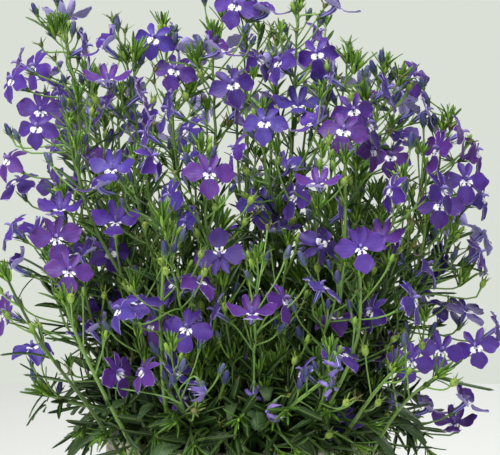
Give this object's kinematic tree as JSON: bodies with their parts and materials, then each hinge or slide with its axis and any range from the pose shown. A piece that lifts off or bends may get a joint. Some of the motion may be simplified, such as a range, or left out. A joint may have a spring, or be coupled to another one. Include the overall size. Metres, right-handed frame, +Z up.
{
  "type": "potted trailing lobelia",
  "caption": "Potted trailing lobelia: slender leafy stems fan out of a plain round pot and end in racemes of violet-blue flowers with white throats.",
  "frame": {"origin": "middle of the pot's flat underside", "axes": "+Z up the pot and the plant; -Y is the side that the picture shows, +X is its right"},
  "size_m": [0.2027, 0.1957, 0.2764],
  "materials": {
    "pot": "matte pale sand-grey stoneware, plain",
    "soil": "dark crumbly potting soil",
    "stems": "smooth green stems with fine ridges",
    "petals": "soft violet-blue petals with white eyes and pale lavender undersides",
    "leaves": "dark green leaves with a faint gloss and pale midribs"
  },
  "bodies": {
    "root": {"pot": "pot", "soil": "soil", "basal_leaf_01": "leaves", "basal_leaf_02": "leaves", "basal_leaf_03": "leaves", "basal_leaf_04": "leaves", "basal_leaf_05": "leaves", "stem_01": "stems", "stem_03": "stems", "stem_05": "stems", "stem_06": "stems", "stem_08": "stems", "stem_09": "stems", "stem_10": "stems", "stem_11": "stems", "stem_12": "stems", "stem_13": "stems", "stem_15": "stems", "stem_17": "stems", "stem_19": "stems", "stem_22": "stems", "stem_23": "stems", "stem_25": "stems", "stem_26": "stems", "stem_29": "stems", "stem_31": "stems", "stem_33": "stems", "raceme_01": "petals", "raceme_02": "petals", "raceme_03": "petals", "raceme_04": "petals", "raceme_05": "petals", "raceme_06": "petals", "raceme_07": "petals", "raceme_08": "petals", "raceme_09": "petals", "raceme_10": "petals", "raceme_11": "petals", "raceme_12": "petals", "raceme_13": "petals", "raceme_14": "petals", "raceme_15": "petals", "raceme_16": "petals", "raceme_17": "petals", "raceme_18": "petals", "raceme_19": "petals", "raceme_20": "petals", "raceme_21": "petals", "raceme_22": "petals", "raceme_23": "petals", "raceme_24": "petals", "raceme_26": "petals", "raceme_27": "petals", "raceme_28": "petals", "raceme_29": "petals", "raceme_30": "petals", "raceme_31": "petals", "raceme_32": "petals", "raceme_33": "petals", "raceme_34": "petals"}
  },
  "joints": []
}
